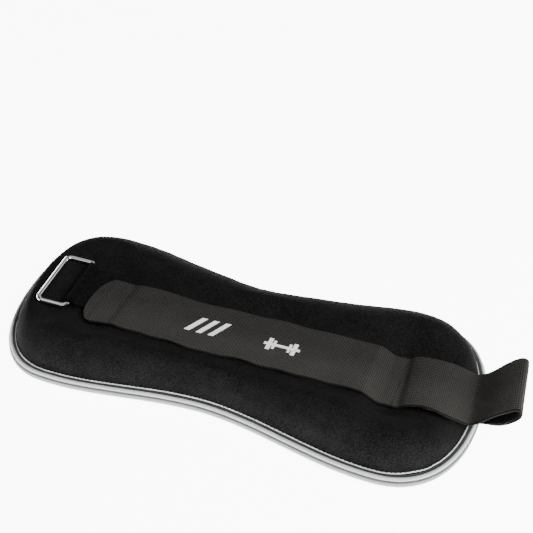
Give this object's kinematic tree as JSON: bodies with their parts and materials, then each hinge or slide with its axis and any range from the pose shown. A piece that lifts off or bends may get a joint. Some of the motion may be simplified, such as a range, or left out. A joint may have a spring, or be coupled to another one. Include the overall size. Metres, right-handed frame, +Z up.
{
  "type": "ankle cuff weight",
  "caption": "Soft weighted cuff with hourglass outline, edge binding, webbing strap and wire ring; lies open and wraps round an ankle or wrist.",
  "frame": {"origin": "middle of the cuff on its underside, where the middle pocket rests", "axes": "+X along the cuff towards the free end of the strap, +Y across it, +Z up out of the cover"},
  "size_m": [0.3797, 0.1707, 0.0426],
  "materials": {
    "cover_fabric": "foam-backed jersey, matt with a fine nap",
    "lining_fabric": "brushed jersey, matt",
    "filling_bag": "plain woven bag with loose mineral filling",
    "edge_binding": "ribbed knitted tape",
    "webbing": "woven webbing with fine cross ribs",
    "hook_and_loop": "fuzzy loop pile and short hooks",
    "chromed_wire": "polished"
  },
  "bodies": {
    "pocket_1": {"outer_cover_1": "cover_fabric", "inner_lining_1": "lining_fabric", "filling_bag_1": "filling_bag", "edge_binding_end_1": "edge_binding"},
    "pocket_2": {"outer_cover_2": "cover_fabric", "inner_lining_2": "lining_fabric", "filling_bag_2": "filling_bag", "edge_binding_far_2": "edge_binding", "edge_binding_near_2": "edge_binding", "strap_tongue_2": "webbing", "ring_tab": "hook_and_loop"},
    "pocket_3": {"outer_cover_3": "cover_fabric", "inner_lining_3": "lining_fabric", "filling_bag_3": "filling_bag", "edge_binding_far_3": "edge_binding", "edge_binding_near_3": "edge_binding", "strap_sewn_3": "webbing"},
    "pocket_4": {"outer_cover_4": "cover_fabric", "inner_lining_4": "lining_fabric", "filling_bag_4": "filling_bag", "edge_binding_far_4": "edge_binding", "edge_binding_near_4": "edge_binding", "strap_sewn_4": "webbing"},
    "pocket_5": {"outer_cover_5": "cover_fabric", "inner_lining_5": "lining_fabric", "filling_bag_5": "filling_bag", "edge_binding_far_5": "edge_binding", "edge_binding_near_5": "edge_binding", "strap_sewn_5": "webbing"},
    "pocket_6": {"outer_cover_6": "cover_fabric", "inner_lining_6": "lining_fabric", "filling_bag_6": "filling_bag", "edge_binding_far_6": "edge_binding", "edge_binding_near_6": "edge_binding", "strap_sewn_6": "webbing"},
    "pocket_7": {"outer_cover_7": "cover_fabric", "inner_lining_7": "lining_fabric", "filling_bag_7": "filling_bag", "edge_binding_end_7": "edge_binding", "strap_seam_7": "webbing"},
    "ring": {"buckle_ring": "chromed_wire"},
    "free_strap_1": {"strap_run": "webbing"},
    "free_strap_2": {"strap_rise": "webbing"},
    "fold": {"strap_fold": "webbing"},
    "return": {"strap_return": "webbing"},
    "folded_end": {"strap_end": "webbing", "hook_tape": "hook_and_loop"}
  },
  "joints": [
    {"name": "wrap", "type": "hinge", "parent": "pocket_4", "child": "pocket_5", "pos_m": [0.0224, 0, 0.016], "axis": [0, 1, 0], "range_deg": [0, 44]},
    {"name": "wrap_5_6", "type": "hinge", "parent": "pocket_5", "child": "pocket_6", "pos_m": [0.0672, 0, 0.016], "axis": [0, 1, 0], "range_deg": [0, 44]},
    {"name": "wrap_6_7", "type": "hinge", "parent": "pocket_6", "child": "pocket_7", "pos_m": [0.112, 0, 0.016], "axis": [0, 1, 0], "range_deg": [0, 44]},
    {"name": "wrap_4_3", "type": "hinge", "parent": "pocket_4", "child": "pocket_3", "pos_m": [-0.0224, 0, 0.016], "axis": [0, -1, 0], "range_deg": [0, 44]},
    {"name": "wrap_3_2", "type": "hinge", "parent": "pocket_3", "child": "pocket_2", "pos_m": [-0.0672, 0, 0.016], "axis": [0, -1, 0], "range_deg": [0, 44]},
    {"name": "wrap_2_1", "type": "hinge", "parent": "pocket_2", "child": "pocket_1", "pos_m": [-0.112, 0, 0.016], "axis": [0, -1, 0], "range_deg": [0, 44]},
    {"name": "ring_swing", "type": "hinge", "parent": "pocket_2", "child": "ring", "pos_m": [-0.1295, 0.0046, 0.02675], "axis": [-0.0785, 0.9969, 0], "range_deg": [0, 150]},
    {"name": "strap_lift", "type": "hinge", "parent": "pocket_7", "child": "free_strap_1", "pos_m": [0.12, -0.0096, 0.02165], "axis": [0.0698, -0.9976, 0], "range_deg": [0, 65]},
    {"name": "strap_bend", "type": "hinge", "parent": "free_strap_1", "child": "free_strap_2", "pos_m": [0.16639, -0.00636, 0.0196], "axis": [0.0698, -0.9976, 0], "range_deg": [0, 20.1]},
    {"name": "fold_open_1", "type": "hinge", "parent": "free_strap_2", "child": "fold", "pos_m": [0.18983, -0.00472, 0.0386], "axis": [0.0698, -0.9976, 0], "range_deg": [0, 8.1]},
    {"name": "fold_open_2", "type": "hinge", "parent": "fold", "child": "return", "pos_m": [0.19681, -0.00423, 0.0344], "axis": [0.0698, -0.9976, 0], "range_deg": [0, 6.1]},
    {"name": "end_bend", "type": "hinge", "parent": "return", "child": "folded_end", "pos_m": [0.16709, -0.00631, 0.0164], "axis": [0.0698, -0.9976, 0], "range_deg": [-20.1, 0]}
  ],
  "couplings": [
    {"joint": "strap_bend", "follows": "strap_lift", "ratio": 0.30769},
    {"joint": "fold_open_1", "follows": "strap_lift", "ratio": 0.12308},
    {"joint": "fold_open_2", "follows": "strap_lift", "ratio": 0.092308},
    {"joint": "end_bend", "follows": "strap_lift", "ratio": -0.30769},
    {"joint": "wrap_5_6", "follows": "wrap", "ratio": 1},
    {"joint": "wrap_6_7", "follows": "wrap", "ratio": 1},
    {"joint": "wrap_4_3", "follows": "wrap", "ratio": 1},
    {"joint": "wrap_3_2", "follows": "wrap", "ratio": 1},
    {"joint": "wrap_2_1", "follows": "wrap", "ratio": 1}
  ]
}
